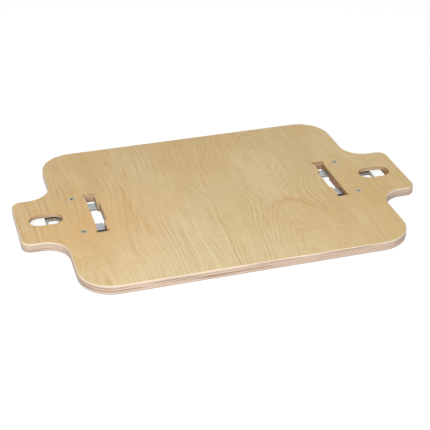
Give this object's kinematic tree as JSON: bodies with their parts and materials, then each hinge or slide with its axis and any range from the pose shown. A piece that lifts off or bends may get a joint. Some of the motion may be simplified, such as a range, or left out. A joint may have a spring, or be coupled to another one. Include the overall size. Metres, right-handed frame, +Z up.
{
  "type": "transfer board",
  "caption": "Flat plywood transfer board with rounded corners and an end tongue each side, cross slots for upright tenons, finger holes and sprung steel latch plates.",
  "frame": {"origin": "middle of the board's underside", "axes": "+X along the board towards the right tongue, +Y across the board away from the viewer, +Z up out of the sitting face"},
  "size_m": [0.64, 0.42, 0.015],
  "materials": {
    "birch_plywood": "clear satin lacquer",
    "latch_steel": "zinc plated, satin",
    "keeper_steel": "zinc plated, satin",
    "spring_wire": "bright drawn wire",
    "pin_steel": "turned",
    "clip_steel": "phosphated",
    "screw_zinc": "bright zinc plated",
    "nut_zinc": "zinc plated"
  },
  "bodies": {
    "board": {"board_panel": "birch_plywood", "left_keeper_plate": "keeper_steel", "left_front_spring": "spring_wire", "left_rear_spring": "spring_wire", "left_panel_screws": "screw_zinc", "left_clinch_nuts": "nut_zinc", "right_keeper_plate": "keeper_steel", "right_front_spring": "spring_wire", "right_rear_spring": "spring_wire", "right_panel_screws": "screw_zinc", "right_clinch_nuts": "nut_zinc"},
    "left_latch": {"left_latch_plate": "latch_steel", "left_front_guide_pin": "pin_steel", "left_rear_guide_pin": "pin_steel", "left_front_retaining_clip": "clip_steel", "left_rear_retaining_clip": "clip_steel"},
    "right_latch": {"right_latch_plate": "latch_steel", "right_front_guide_pin": "pin_steel", "right_rear_guide_pin": "pin_steel", "right_front_retaining_clip": "clip_steel", "right_rear_retaining_clip": "clip_steel"}
  },
  "joints": [
    {"name": "left_latch_slide", "type": "slide", "parent": "board", "child": "left_latch", "axis": [-1, 0, 0], "range_m": [0, 0.017], "stiffness_N_per_m": 600, "springref_m": -0.006, "deforming": ["left_front_spring", "left_rear_spring"]},
    {"name": "right_latch_slide", "type": "slide", "parent": "board", "child": "right_latch", "axis": [1, 0, 0], "range_m": [0, 0.017], "stiffness_N_per_m": 600, "springref_m": -0.006, "deforming": ["right_front_spring", "right_rear_spring"]}
  ]
}
